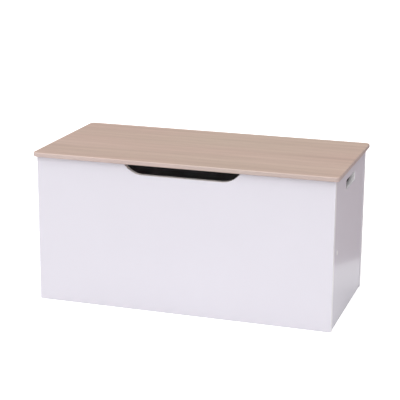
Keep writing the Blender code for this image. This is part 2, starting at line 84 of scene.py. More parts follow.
def newPiece(name, shape, finish=None):
    bmesh.ops.recalc_face_normals(shape, faces=shape.faces)
    mesh = bpy.data.meshes.new(name)
    shape.to_mesh(mesh)
    shape.free()
    piece = bpy.data.objects.new(name, mesh)
    bpy.context.scene.collection.objects.link(piece)
    if finish:
        mesh.materials.append(finish)
    return piece


def slab(name, outline, along, low, high, finish=None):
    # The outline pulled from low to high along one axis.
    spread = {"X": (1, 2, 0), "Y": (0, 2, 1), "Z": (0, 1, 2)}[along]
    shape = bmesh.new()
    rings = []
    for level in (low, high):
        ring = []
        for u, v in outline:
            point = [0.0, 0.0, 0.0]
            for axis, value in zip(spread, (u, v, level)):
                point[axis] = value
            ring.append(shape.verts.new(point))
        rings.append(ring)
        shape.faces.new(ring)
    for i in range(len(outline)):
        shape.faces.new((rings[0][i - 1], rings[0][i], rings[1][i], rings[1][i - 1]))
    return newPiece(name, shape, finish)


def block(name, low, high, finish=None):
    return slab(name, rectangle(low[0], high[0], low[1], high[1]), "Z", low[2], high[2], finish)


def lathe(name, profile, start, direction, finish=None, facets=48, closed=False):
    # The profile turned about a line. A closed profile makes a ring or a tube.
    turn = Vector((0, 0, 1)).rotation_difference(Vector(direction)).to_matrix().to_4x4()
    move = Matrix.Translation(Vector(start)) @ turn
    shape = bmesh.new()
    rings = []
    for distance, radius in profile:
        if radius < 1e-6:
            rings.append([shape.verts.new(move @ Vector((0, 0, distance)))])
            continue
        ring = []
        for step in range(facets):
            angle = 2 * math.pi * step / facets
            point = Vector((radius * math.cos(angle), radius * math.sin(angle), distance))
            ring.append(shape.verts.new(move @ point))
        rings.append(ring)
    pairs = list(zip(rings, rings[1:]))
    if closed:
        pairs.append((rings[-1], rings[0]))
    else:
        for ring in (rings[0], rings[-1]):
            if len(ring) > 1:
                shape.faces.new(ring)
    for lower, upper in pairs:
        for i in range(facets):
            if len(lower) == 1:
                shape.faces.new((lower[0], upper[i], upper[i - 1]))
            elif len(upper) == 1:
                shape.faces.new((lower[i - 1], lower[i], upper[0]))
            else:
                shape.faces.new((lower[i - 1], lower[i], upper[i], upper[i - 1]))
    return newPiece(name, shape, finish)


def rod(name, radius, length, start, direction, finish=None, facets=48):
    return lathe(name, [(0, radius), (length, radius)], start, direction, finish, facets)


def settle(piece):
    # Turns the modifiers into plain mesh, so that their helpers can go.
    helpers = [step.object for step in piece.modifiers if step.type == "BOOLEAN"]
    bpy.context.view_layer.update()
    graph = bpy.context.evaluated_depsgraph_get()
    settled = bpy.data.meshes.new_from_object(piece.evaluated_get(graph))
    settled.name = piece.name
    piece.modifiers.clear()
    piece.data = settled
    for helper in helpers:
        bpy.data.objects.remove(helper)


def combine(piece, helper, operation):
    step = piece.modifiers.new(helper.name, "BOOLEAN")
    step.operation = operation
    step.solver = "EXACT"
    step.object = helper
    helper.hide_render = True


def cut(piece, helper):
    combine(piece, helper, "DIFFERENCE")


def weld(piece, helper):
    combine(piece, helper, "UNION")


def softenEdges(piece, radius, segments=3, angle=30):
    bevel = piece.modifiers.new("soft edges", "BEVEL")
    bevel.width = radius
    bevel.segments = segments
    bevel.limit_method = "ANGLE"
    bevel.angle_limit = math.radians(angle)
    bevel.miter_outer = "MITER_ARC"


def shadeSmooth(piece, angle=35):
    piece.data.shade_smooth()
    piece.data.set_sharp_from_angle(angle=math.radians(angle))
    even = piece.modifiers.new("even shading", "WEIGHTED_NORMAL")
    even.keep_sharp = True
    even.weight = 80


def place(piece, body, materialSlot, *nodes):
    shadeSmooth(piece)
    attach(piece, body)
    if nodes:
        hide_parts(*nodes)


def middle(node):
    low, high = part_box(node)
    return (low + high) / 2


# Finishes. Each one is a node material in real sizes, measured in metres on the piece.

def newFinish(name, baseColour, roughness, metallic=0.0):
    finish = bpy.data.materials.new(name)
    finish.use_nodes = True
    shader = finish.node_tree.nodes["Principled BSDF"]
    shader.inputs["Base Color"].default_value = (*baseColour, 1)
    shader.inputs["Roughness"].default_value = roughness
    shader.inputs["Metallic"].default_value = metallic
    return finish, finish.node_tree, shader


def addNode(tree, kind, settings=None, **inputs):
    node = tree.nodes.new(kind)
    for key, value in (settings or {}).items():
        setattr(node, key, value)
    for key, value in inputs.items():
        node.inputs[key].default_value = value
    return node


def stretchedCoordinates(tree, stretch):
    onPiece = addNode(tree, "ShaderNodeTexCoord").outputs["Object"]
    mapping = addNode(tree, "ShaderNodeMapping", Scale=stretch)
    tree.links.new(onPiece, mapping.inputs["Vector"])
    return mapping.outputs["Vector"]


def noiseOf(tree, stretch, detail=3.0, roughness=0.5, distortion=0.0):
    noise = addNode(
        tree, "ShaderNodeTexNoise", Scale=1.0, Detail=detail, Roughness=roughness, Distortion=distortion
    )
    tree.links.new(stretchedCoordinates(tree, stretch), noise.inputs["Vector"])
    return noise.outputs["Fac"]


def rampOf(tree, factor, stops):
    ramp = addNode(tree, "ShaderNodeValToRGB")
    elements = ramp.color_ramp.elements
    while len(elements) < len(stops):
        elements.new(0.5)
    for element, (position, colour) in zip(elements, stops):
        element.position = position
        element.color = (*colour, 1) if isinstance(colour, tuple) else (colour, colour, colour, 1)
    tree.links.new(factor, ramp.inputs["Fac"])
    return ramp.outputs["Color"]


def multiply(tree, first, second):
    blend = addNode(tree, "ShaderNodeMix", {"data_type": "RGBA", "blend_type": "MULTIPLY"})
    blend.inputs["Factor"].default_value = 1.0
    tree.links.new(first, blend.inputs["A"])
    tree.links.new(second, blend.inputs["B"])
    return blend.outputs["Result"]


def tintByNormal(tree, axis, stops):
    # Painted light and shade: a tint that depends on how squarely a face of the piece looks along one of
    # its own axes.
    normal = addNode(tree, "ShaderNodeTexCoord").outputs["Normal"]
    parts = addNode(tree, "ShaderNodeSeparateXYZ")
    tree.links.new(normal, parts.inputs["Vector"])
    squareness = addNode(tree, "ShaderNodeMath", {"operation": "ABSOLUTE"})
    tree.links.new(parts.outputs[axis], squareness.inputs[0])
    return rampOf(tree, squareness.outputs["Value"], stops)


def addBump(tree, shader, height, strength, distance):
    bump = addNode(tree, "ShaderNodeBump", Strength=strength, Distance=distance)
    tree.links.new(height, bump.inputs["Height"])
    tree.links.new(bump.outputs["Normal"], shader.inputs["Normal"])


whitePaint = {
    "colour": (0.73, 0.715, 0.765),
    "mottle": 0.012,  # how much lighter and darker the coat is from place to place
    "rippleSize": 0.0030,
    "rippleStrength": 0.05,
    "roughness": (0.285, 0.315),
    "coat": 0.35,
    "coatRoughness": 0.10,
    "paintedRimLightTint": (1.28, 1.30, 1.22),  # painted light: cut edges, the slot's walls and the cut-out's ledge made lighter, as if more light reached them
}


def makeWhitePaint(name, faceAxis=None):
    finish, tree, shader = newFinish(name, whitePaint["colour"], 0.3)
    low, high = (
        tuple(c * (1 + sign * whitePaint["mottle"]) for c in whitePaint["colour"]) for sign in (-1, 1)
    )
    drift = noiseOf(tree, (3.1, 3.1, 3.1), 2)
    colour = rampOf(tree, drift, [(0.25, low), (0.75, high)])
    # Painted light: faces that do not look along faceAxis, such as cut edges, the slot's walls and the
    # cut-out's ledge, are made lighter to stand in for light reaching them.
    if faceAxis:
        paintedRimLight = tintByNormal(tree, faceAxis, [(0.55, whitePaint["paintedRimLightTint"]), (0.95, 1.0)])
        colour = multiply(tree, colour, paintedRimLight)
    tree.links.new(colour, shader.inputs["Base Color"])
    smooth, dull = whitePaint["roughness"]
    rough = rampOf(tree, noiseOf(tree, (14, 14, 14), 2), [(0.25, smooth), (0.75, dull)])
    tree.links.new(rough, shader.inputs["Roughness"])
    ripple = 1 / whitePaint["rippleSize"]
    height = noiseOf(tree, (ripple, ripple, ripple), 2)
    addBump(tree, shader, height, whitePaint["rippleStrength"], 0.0002)
    shader.inputs["Coat Weight"].default_value = whitePaint["coat"]
    shader.inputs["Coat Roughness"].default_value = whitePaint["coatRoughness"]
    return finish


def grainOf(along, lengthwise, across):
    # How a pattern is stretched when it is long in the direction of the grain.
    return tuple(lengthwise if axis == along else across for axis in "XYZ")


def makeWood(name, looks, along):
    tones = looks["tones"]
    finish, tree, shader = newFinish(name, tones[0], looks["roughness"][0])
    bands = noiseOf(tree, grainOf(along, 0.9, 17), 3, 0.55, 0.5)
    colour = rampOf(tree, bands, [(0.30, tones[0]), (0.52, tones[1]), (0.72, tones[2])])
    rings = addNode(
        tree,
        "ShaderNodeTexWave",
        {"wave_type": "BANDS", "bands_direction": "Y", "wave_profile": "SIN"},
        Scale=looks["ringScale"],
        Distortion=6.0,
        Detail=3.0,
    )
    rings.inputs["Detail Scale"].default_value = 0.7
    tree.links.new(stretchedCoordinates(tree, grainOf(along, 0.22, 1.0)), rings.inputs["Vector"])
    ringTone = rampOf(tree, rings.outputs["Fac"], [(0.0, 1 - looks["ringDepth"]), (0.6, 1.0)])
    colour = multiply(tree, colour, ringTone)
    fibres = noiseOf(tree, grainOf(along, 9, 330), 5, 0.6)
    fibreTone = rampOf(tree, fibres, [(0.30, 1 - looks["fibreDepth"]), (0.62, 1.0)])
    colour = multiply(tree, colour, fibreTone)
    pores = noiseOf(tree, grainOf(along, 45, 1100), 2)
    poreTone = rampOf(tree, pores, [(0.30, 1 - looks["poreDepth"]), (0.40, 1.0)])
    colour = multiply(tree, colour, poreTone)
    blush = noiseOf(tree, grainOf(along, 1.6, 5.5), 2)
    blushTone = rampOf(tree, blush, [(0.35, looks["coolTint"]), (0.65, looks["warmTint"])])
    colour = multiply(tree, colour, blushTone)
    # The lid's edges: partly paler wood, partly a painted highlight that lightens every face not looking
    # straight up or down.
    if "paleEdgeAndPaintedHighlight" in looks:
        edgeToneAndPaintedHighlight = tintByNormal(tree, "Z", [(0.55, looks["paleEdgeAndPaintedHighlight"]), (0.95, 1.0)])
        colour = multiply(tree, colour, edgeToneAndPaintedHighlight)
    tree.links.new(colour, shader.inputs["Base Color"])
    low, high = looks["roughness"]
    tree.links.new(rampOf(tree, fibres, [(0.3, high), (0.7, low)]), shader.inputs["Roughness"])
    addBump(tree, shader, multiply(tree, fibreTone, poreTone), looks["relief"], 0.0004)
    return finish


lidGrain = {
    "tones": [(0.435, 0.325, 0.268), (0.493, 0.371, 0.307), (0.528, 0.406, 0.341)],
    "ringScale": 9.0,
    "ringDepth": 0.05,  # how much darker the rings, the fibres and the pores are
    "fibreDepth": 0.10,
    "poreDepth": 0.12,
    "roughness": (0.36, 0.48),
    "relief": 0.25,
    "coolTint": (0.97, 1.0, 0.98),
    "warmTint": (1.02, 0.985, 1.0),
    "paleEdgeAndPaintedHighlight": (1.22, 1.32, 1.42),  # partly the paler wood of the lid's edges, partly a painted highlight on them
}
plainGrain = {
    "tones": [(0.55, 0.40, 0.24), (0.64, 0.48, 0.30), (0.70, 0.55, 0.37)],
    "ringScale": 22.0,
    "ringDepth": 0.16,
    "fibreDepth": 0.14,
    "poreDepth": 0.10,
    "roughness": (0.55, 0.72),
    "relief": 0.4,
    "coolTint": (0.98, 1.0, 1.0),
    "warmTint": (1.0, 0.98, 0.96),
}


def makeMetal(name, colour, roughness, scratches, metallic=1.0, bright=0.06):
    # A plated or drawn metal: fine streaks in the roughness and a faint cloudiness in the tone.
    finish, tree, shader = newFinish(name, colour, roughness, metallic)
    cloud = noiseOf(tree, (180, 180, 180), 3)
    low = tuple(c * (1 - bright) for c in colour)
    high = tuple(min(1, c * (1 + bright)) for c in colour)
    tree.links.new(rampOf(tree, cloud, [(0.3, low), (0.7, high)]), shader.inputs["Base Color"])
    streaks = noiseOf(tree, scratches, 4, 0.65)
    rough = rampOf(tree, streaks, [(0.3, roughness * 0.75), (0.7, roughness * 1.35)])
    tree.links.new(rough, shader.inputs["Roughness"])
    addBump(tree, shader, streaks, 0.06, 0.00005)
    return finish


def makePlastic(name, colour, roughness, grain):
    finish, tree, shader = newFinish(name, colour, roughness)
    drift = noiseOf(tree, (90, 90, 90), 2)
    low = tuple(c * 0.97 for c in colour)
    tree.links.new(rampOf(tree, drift, [(0.3, low), (0.7, colour)]), shader.inputs["Base Color"])
    texture = noiseOf(tree, (grain, grain, grain), 2)
    rough = rampOf(tree, texture, [(0.3, roughness * 0.9), (0.7, roughness * 1.1)])
    tree.links.new(rough, shader.inputs["Roughness"])
    addBump(tree, shader, texture, 0.08, 0.00005)
    return finish


plainPaint = makeWhitePaint("whitePaint")
frontAndBackPaintWithPaintedRimLight = makeWhitePaint("frontAndBackPaintWithPaintedRimLight", "Y")
sidePaintWithPaintedRimLight = makeWhitePaint("sidePaintWithPaintedRimLight", "X")
lidWood = makeWood("lidWood", lidGrain, "X")
battenWoodAcross = makeWood("battenWoodAcross", plainGrain, "X")
battenWoodDeep = makeWood("battenWoodDeep", plainGrain, "Y")
capPlastic = makePlastic("capPlastic", (0.86, 0.85, 0.84), 0.42, 2500)
guidePlastic = makePlastic("guidePlastic", (0.025, 0.025, 0.028), 0.45, 2500)
bumperRubber = makePlastic("bumperRubber", (0.66, 0.66, 0.64), 0.5, 1200)
bumperRubber.node_tree.nodes["Principled BSDF"].inputs["Transmission Weight"].default_value = 0.35
zincPlate = makeMetal("zincPlate", (0.66, 0.66, 0.67), 0.30, (900, 60, 900))
screwSteel = makeMetal("screwSteel", (0.58, 0.57, 0.55), 0.34, (1500, 1500, 120))
chromeRod = makeMetal("chromeRod", (0.80, 0.80, 0.81), 0.09, (1400, 900, 900), bright=0.02)
greyTube = makeMetal("greyTube", (0.40, 0.41, 0.43), 0.38, (700, 700, 700), metallic=0.35)
print("toy box: finishes made")


# Boards.

boardLooks = {"edgeRadius": 0.0010, "edgeSegments": 3, "bottomEdgeRadius": 0.0006}
battenLooks = {"edgeRadius": 0.0012, "edgeSegments": 3}
cutout = {"width": 0.3055, "depth": 0.0255, "endSlope": 51, "endRadius": 0.058, "cornerRadius": 0.004}
slotLooks = {
    "length": 0.112,  # at its narrowest, between the rounded lips
    "height": 0.0225,
    "centreZ": 0.3454,
    "outerLip": 0.0030,
    "innerLip": 0.0008,
    "lipSteps": 6,
}
camBore = {"radius": 0.0053, "depth": 0.0122}
lidLooks = {"cornerRadius": 0.012, "edgeRadius": 0.003, "edgeSegments": 6}
boreClearance = 0.0003
cutBeyond = 0.001  # how far a cutter starts outside the face it goes through


def frontOutline(low, high):
    halfTop = cutout["width"] / 2
    halfBottom = halfTop - cutout["depth"] / math.tan(math.radians(cutout["endSlope"]))
    bottom = high.z - cutout["depth"]
    corners = [
        (low.x, low.z),
        (high.x, low.z),
        (high.x, high.z),
        (halfTop, high.z),
        (halfBottom, bottom),
        (-halfBottom, bottom),
        (-halfTop, high.z),
        (low.x, high.z),
    ]
    corner, end = cutout["cornerRadius"], cutout["endRadius"]
    return roundCorners(corners, [0, 0, 0, corner, end, end, corner, 0], 16)


def drillFor(board, node, axis):
    # A bore round a fastener that runs along one axis, from the fastener's own size.
    low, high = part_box(node)
    centre = (low + high) / 2
    index = "XYZ".index(axis)
    across = [i for i in range(3) if i != index]
    radius = max(high[i] - low[i] for i in across) / 2 + boreClearance
    start = centre.copy()
    start[index] = low[index] - boreClearance
    direction = Vector((0, 0, 0))
    direction[index] = 1
    length = high[index] - low[index] + 2 * boreClearance
    cut(board, rod(node + "Bore", radius, length, start, direction, facets=32))


def drillPilot(board, node, start, direction):
    # The hole that a small wood screw is driven into.
    radius = woodScrew["shankRadius"] + boreClearance
    cut(board, rod(node + "Bore", radius, woodScrew["length"], start, direction, facets=24))


def drillStem(board, node):
    # The bore for the thin stem of a push-in bumper, under its head.
    low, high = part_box(node)
    centre = (low + high) / 2
    start = (centre.x, centre.y, low.z - boreClearance)
    radius = bumperLooks["stemRadius"] + boreClearance
    cut(board, rod(node + "Bore", radius, high.z - low.z, start, (0, 0, 1), facets=32))


def makeFrontBoard():
    low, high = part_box("front_panel")
    board = slab("frontBoard", frontOutline(low, high), "Y", low.y, high.y, frontAndBackPaintWithPaintedRimLight)
    softenEdges(board, boardLooks["edgeRadius"], boardLooks["edgeSegments"])
    for side in sides:
        for node in (f"{side}_cam_bolt", f"{side}_dowel_lower", f"{side}_dowel_upper"):
            drillFor(board, node, "Y")
        drillStem(board, f"{side}_bumper")
    settle(board)
    place(board, "box", "white_board", "front_panel")


def makeBackBoard():
    low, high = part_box("back_panel")
    board = block("backBoard", low, high, frontAndBackPaintWithPaintedRimLight)
    softenEdges(board, boardLooks["edgeRadius"], boardLooks["edgeSegments"])
    headRadius = rearScrew["headRadius"] + boreClearance
    shankRadius = rearScrew["shankRadius"] + boreClearance
    for side in sides:
        for level in ("lower", "middle", "upper"):
            node = f"{side}_rear_screw_{level}"
            centre = middle(node)
            profile = [
                (-cutBeyond, headRadius),
                (rearScrew["rimEnd"], headRadius),
                (rearScrew["coneEnd"], shankRadius),
                (high.y - low.y + cutBeyond, shankRadius),
            ]
            face = (centre.x, high.y, centre.z)
            cut(board, lathe(node + "Bore", profile, face, (0, -1, 0), facets=32))
        for end in ("left", "right"):
            node = f"{side}_hinge_box_screw_{end}"
            centre = middle(node)
            drillPilot(board, node, (centre.x, high.y + cutBeyond, centre.z), (0, -1, 0))
    settle(board)
    place(board, "box", "white_board", "back_panel")


def flareOf(lip):
    # How much wider a slot is at each depth from a face, where its lip is rounded over.
    flare = [(-cutBeyond, lip)]
    for step in range(slotLooks["lipSteps"] + 1):
        angle = math.radians(90 * step / slotLooks["lipSteps"])
        flare.append((lip * (1 - math.cos(angle)), lip * (1 - math.sin(angle))))
    return flare


def makeSlotCutter(name, low, high, sign):
    lowLip, highLip = (slotLooks[k] for k in ("innerLip", "outerLip")[::sign])
    levels = [(low.x + depth, wider) for depth, wider in flareOf(lowLip)]
    levels += [(high.x - depth, wider) for depth, wider in reversed(flareOf(highLip))]
    centreY, centreZ = (low.y + high.y) / 2, slotLooks["centreZ"]
    shape = bmesh.new()
    rings = []
    for x, wider in levels:
        halfLength = slotLooks["length"] / 2 + wider
        halfHeight = slotLooks["height"] / 2 + wider
        corners = rectangle(
            centreY - halfLength, centreY + halfLength, centreZ - halfHeight, centreZ + halfHeight
        )
        outline = roundCorners(corners, [halfHeight * 0.999] * 4, 12)
        rings.append([shape.verts.new((x, y, z)) for y, z in outline])
    shape.faces.new(rings[0])
    shape.faces.new(rings[-1])
    for lower, upper in zip(rings, rings[1:]):
        for i in range(len(lower)):
            shape.faces.new((lower[i - 1], lower[i], upper[i], upper[i - 1]))
    return newPiece(name, shape)


def makeSideBoard(side, sign):
    low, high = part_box(f"{side}_side_panel")
    board = block(f"{side}SideBoard", low, high, sidePaintWithPaintedRimLight)
    softenEdges(board, boardLooks["edgeRadius"], boardLooks["edgeSegments"])
    cut(board, makeSlotCutter(f"{side}SlotCutter", low, high, sign))
    cam = middle(f"{side}_cam_lock")
    outer, inner = (high.x, low.x)[::sign]
    start = (outer + sign * cutBeyond, cam.y, cam.z)
    depth = camBore["depth"] + cutBeyond
    cut(board, rod(f"{side}CamBore", camBore["radius"], depth, start, (-sign, 0, 0), facets=48))
    drillFor(board, f"{side}_cam_bolt", "Y")
    for level in ("lower", "upper"):
        drillFor(board, f"{side}_dowel_{level}", "Y")
    for level in ("lower", "middle", "upper"):
        node = f"{side}_rear_screw_{level}"
        centre = middle(node)
        start = (centre.x, high.y + cutBeyond, centre.z)
        length = high.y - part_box(node)[0].y + 2 * cutBeyond
        radius = rearScrew["shankRadius"] + boreClearance
        cut(board, rod(node + "Bore", radius, length, start, (0, -1, 0), facets=32))
    for level in ("upper", "lower"):
        node = f"{side}_stay_side_screw_{level}"
        centre = middle(node)
        drillPilot(board, node, (inner - sign * cutBeyond, centre.y, centre.z), (sign, 0, 0))
    settle(board)
    place(board, "box", "white_board", f"{side}_side_panel")


def makeFloorBoards():
    low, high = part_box("bottom_panel")
    board = block("bottomBoard", low, high, plainPaint)
    softenEdges(board, boardLooks["bottomEdgeRadius"], 2)
    settle(board)
    place(board, "box", "white_board", "bottom_panel")
    for node, finish in (
        ("front_batten", battenWoodAcross),
        ("rear_batten", battenWoodAcross),
        ("left_batten", battenWoodDeep),
        ("right_batten", battenWoodDeep),
    ):
        low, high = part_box(node)
        batten = block(node.replace("_batten", "Batten"), low, high, finish)
        softenEdges(batten, battenLooks["edgeRadius"], battenLooks["edgeSegments"])
        settle(batten)
        place(batten, "box", "plain_wood", node)


def makeLidBoard():
    low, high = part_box("lid_panel")
    corners = rectangle(low.x, high.x, low.y, high.y)
    outline = roundCorners(corners, [lidLooks["cornerRadius"]] * 4, 12)
    board = slab("lidBoard", outline, "Z", low.z, high.z, lidWood)
    softenEdges(board, lidLooks["edgeRadius"], lidLooks["edgeSegments"], 50)
    for side in sides:
        leafLow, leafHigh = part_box(f"{side}_hinge_lid_leaf")
        gap, past = boreClearance, 10 * cutBeyond
        pocket = block(
            f"{side}HingePocket",
            (leafLow.x - gap, leafLow.y - gap, low.z - past),
            (leafHigh.x + gap, high.y + past, leafHigh.z + gap),
        )
        cut(board, pocket)
        screws = [f"{side}_hinge_lid_screw_{end}" for end in ("left", "right")]
        screws += [f"{side}_stay_lid_screw_{end}" for end in ("front", "rear")]
        for node in screws:
            centre = middle(node)
            start = (centre.x, centre.y, low.z - 2 * cutBeyond)
            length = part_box(node)[1].z - start[2] + boreClearance
            radius = woodScrew["shankRadius"] + boreClearance
            cut(board, rod(node + "Bore", radius, length, start, (0, 0, 1), facets=24))
    settle(board)
    place(board, "lid", "lid_wood", "lid_panel")


# Screws. One mesh for each pattern is shared by all of its screws. Depths start at the head's face.

woodScrew = {
    "headRadius": 0.0030,
    "rim": 0.0003,  # the head's thickness before its cone begins
    "coneEnd": 0.0012,
    "shankRadius": 0.0015,
    "threadStart": 0.0024,
    "threadTurns": 8,
    "threadDepth": 0.0003,
    "tip": 0.003,
    "length": 0.009,
    "recess": (0.0016, 0.00045, 0.0009),  # half length, half width and depth of an arm
}
rearScrew = {
    "headRadius": 0.0050,
    "sunk": 0.0002,  # how far the head sits below the board's face
    "headEdge": 0.0003,
    "rimEnd": 0.0010,
    "coneEnd": 0.0042,
    "shankRadius": 0.0034,
    "shankEnd": 0.0150,
    "threadStart": 0.0155,
    "threadLength": 0.030,
    "threadTurns": 12,
    "threadDepth": 0.0009,
    "tip": 0.004,
    "tipRadius": 0.0012,
    "length": 0.050,
    "socketWidth": 0.0040,
    "socketDepth": 0.0025,
}


def threadOf(looks, length):
    # Rings of thread, each rising from its root to the shank's full width.
    pitch = length / looks["threadTurns"]
    root = looks["shankRadius"] - looks["threadDepth"]
    profile = []
    for step in range(looks["threadTurns"]):
        near = looks["threadStart"] + pitch * step
        profile += [(near, root), (near + pitch / 2, looks["shankRadius"])]
    profile.append((looks["length"] - looks["tip"], root))
    return profile


def makeWoodScrewMesh():
    head, rim, length = woodScrew["headRadius"], woodScrew["rim"], woodScrew["length"]
    profile = [(0, 0), (0, head - rim), (rim / 2, head), (rim, head)]
    profile.append((woodScrew["coneEnd"], woodScrew["shankRadius"]))
    profile += threadOf(woodScrew, length - woodScrew["tip"] - woodScrew["threadStart"])
    profile.append((length, 0))
    screw = lathe("woodScrewPattern", profile, (0, 0, 0), (0, 0, 1), screwSteel, 32)
    arm, width, depth = woodScrew["recess"]
    for turn, (halfX, halfY) in ((0, (arm, width)), (90, (width, arm))):
        cut(screw, block(f"crossRecess{turn}", (-halfX, -halfY, -cutBeyond), (halfX, halfY, depth)))
    settle(screw)
    return takeMesh(screw)


def makeRearScrewMesh():
    head, sunk, shank = rearScrew["headRadius"], rearScrew["sunk"], rearScrew["shankRadius"]
    profile = [(sunk, 0), (sunk, head - rearScrew["headEdge"]), (2 * sunk, head)]
    profile += [(rearScrew["rimEnd"], head), (rearScrew["coneEnd"], shank)]
    profile.append((rearScrew["shankEnd"], shank))
    profile += threadOf(rearScrew, rearScrew["threadLength"])
    profile += [(rearScrew["length"], rearScrew["tipRadius"]), (rearScrew["length"], 0)]
    screw = lathe("rearScrewPattern", profile, (0, 0, 0), (0, 0, 1), screwSteel, 32)
    socketRadius = rearScrew["socketWidth"] / 2 / math.cos(math.pi / 6)
    depth = rearScrew["socketDepth"] + cutBeyond
    cut(screw, rod("hexSocket", socketRadius, depth, (0, 0, -cutBeyond), (0, 0, 1), facets=6))
    settle(screw)
    return takeMesh(screw)


def takeMesh(piece):
    mesh = piece.data
    mesh.shade_smooth()
    mesh.set_sharp_from_angle(angle=math.radians(35))
    bpy.data.objects.remove(piece)
    return mesh


def driveScrew(mesh, node, direction, body, spin=0.0):
    low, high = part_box(node)
    index = max(range(3), key=lambda i: abs(direction[i]))
    head = (low + high) / 2
    head[index] = low[index] if direction[index] > 0 else high[index]
    if mesh is rearScrewMesh:
        head[index] -= direction[index] * rearScrew["sunk"]
    words = node.split("_")
    name = words[0] + "".join(word.capitalize() for word in words[1:])
    screw = bpy.data.objects.new(name, mesh)
    bpy.context.scene.collection.objects.link(screw)
    turn = Vector((0, 0, 1)).rotation_difference(Vector(direction)).to_matrix().to_4x4()
    screw.matrix_world = Matrix.Translation(head) @ turn @ Matrix.Rotation(spin, 4, "Z")
    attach(screw, body)
    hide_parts(node)


def driveAllScrews():
    # Each screw stops at its own turn, so that no two recesses line up.
    rearward, upward = (0, -1, 0), (0, 0, 1)
    for side, sign in sides.items():
        for index, level in enumerate(("lower", "middle", "upper")):
            node = f"{side}_rear_screw_{level}"
            driveScrew(rearScrewMesh, node, rearward, "box", 0.4 * index)
        for index, end in enumerate(("left", "right")):
            spin = 0.5 + 0.9 * index + 0.3 * sign
            driveScrew(woodScrewMesh, f"{side}_hinge_box_screw_{end}", rearward, "box", spin)
            driveScrew(woodScrewMesh, f"{side}_hinge_lid_screw_{end}", upward, "lid", spin + 0.7)
        for index, level in enumerate(("upper", "lower")):
            node = f"{side}_stay_side_screw_{level}"
            driveScrew(woodScrewMesh, node, (sign, 0, 0), "box", 0.2 + index)
        for index, end in enumerate(("front", "rear")):
            node = f"{side}_stay_lid_screw_{end}"
            driveScrew(woodScrewMesh, node, upward, "lid", 0.6 + index)


# Cam locks and dowels. Only the cap of a cam shows; the rest keeps its own shape, inside the boards.

capLooks = {
    "radius": 0.006,
    "plugRadius": 0.0044,
    "plugDepth": 0.0010,
    "rim": (0.0002, 0.0008),  # where its straight edge starts and ends, out from the board
    "crown": 0.0012,
    "crownShare": 0.55,  # how much of the cap is flat on top
}


def makeCamCap(side, sign):
    centre = middle(f"{side}_cam_cap")
    boardLow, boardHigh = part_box(f"{side}_side_panel")
    face = boardHigh.x if sign > 0 else boardLow.x
    radius, plug, depth = capLooks["radius"], capLooks["plugRadius"], capLooks["plugDepth"]
    near, far = capLooks["rim"]
    crown = capLooks["crown"]
    corners = [
        (-depth, 0),
        (-depth, plug),
        (near, plug),
        (near, radius),
        (far, radius),
        (crown, radius * capLooks["crownShare"]),
        (crown, 0),
    ]
    radii = [0, 0.0003, 0, 0.0002, 0.0003, 0.002, 0]
    profile = roundCorners(corners, radii, 5, closed=False)
    start = (face, centre.y, centre.z)
    cap = lathe(f"{side}CamCap", profile, start, (sign, 0, 0), capPlastic, 64)
    place(cap, "box", "white_plastic", f"{side}_cam_cap")


def dressHiddenPieces():
    for side in sides:
        for node, finish in (
            ("cam_bolt", screwSteel),
            ("cam_lock", screwSteel),
            ("dowel_lower", battenWoodDeep),
            ("dowel_upper", battenWoodDeep),
        ):
            piece = frame["nodes"][f"{side}_{node}"]
            piece.data.materials.clear()
            piece.data.materials.append(finish)


# Butt hinges. The box leaf has the two outer knuckles and the lid leaf the one between them.

hingeLooks = {
    "leafCorner": 0.002,
    "leafThickness": 0.0015,
    "leafGap": 0.005,  # from the pin's centre to the straight edge of each leaf
    "knuckleRadius": 0.004,
    "knuckleShare": 1 / 6,  # half of the lid leaf's knuckle, as a share of the pin's length
    "pinRadius": 0.0017,
    "pinDome": 0.0008,
    "overlap": 0.002,  # how far a shoulder runs into its leaf
    "shoulderDrop": 0.0005,
    "inset": 0.00005,  # keeps joined faces from lying in one plane
    "sink": (0.0004, 0.0014),  # the depths where a countersink's cone begins and ends
}


def makeHinge(side):
    axis = Vector(joints["lid_hinge"]["pos_m"])
    pinLow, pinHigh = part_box(f"{side}_hinge_pin")
    centreX = (pinLow.x + pinHigh.x) / 2
    width = pinHigh.x - pinLow.x
    lidKnuckle = width * hingeLooks["knuckleShare"]
    makeBoxLeaf(side, axis, centreX, lidKnuckle)
    makeLidLeaf(side, axis, centreX, lidKnuckle)

    pinRadius, dome = hingeLooks["pinRadius"], hingeLooks["pinDome"]
    profile = [(0, 0), (0, pinRadius - dome)]
    for degrees in (22, 45, 67, 90):
        angle = math.radians(degrees)
        radius = pinRadius - dome + dome * math.sin(angle)
        profile.append((dome * (1 - math.cos(angle)), radius))
    mirrored = [(width - distance, radius) for distance, radius in reversed(profile)]
    start = (pinLow.x, axis.y, axis.z)
    pin = lathe(f"{side}HingePin", profile + mirrored, start, (1, 0, 0), screwSteel, 32)
    place(pin, "box", "zinc", f"{side}_hinge_pin")


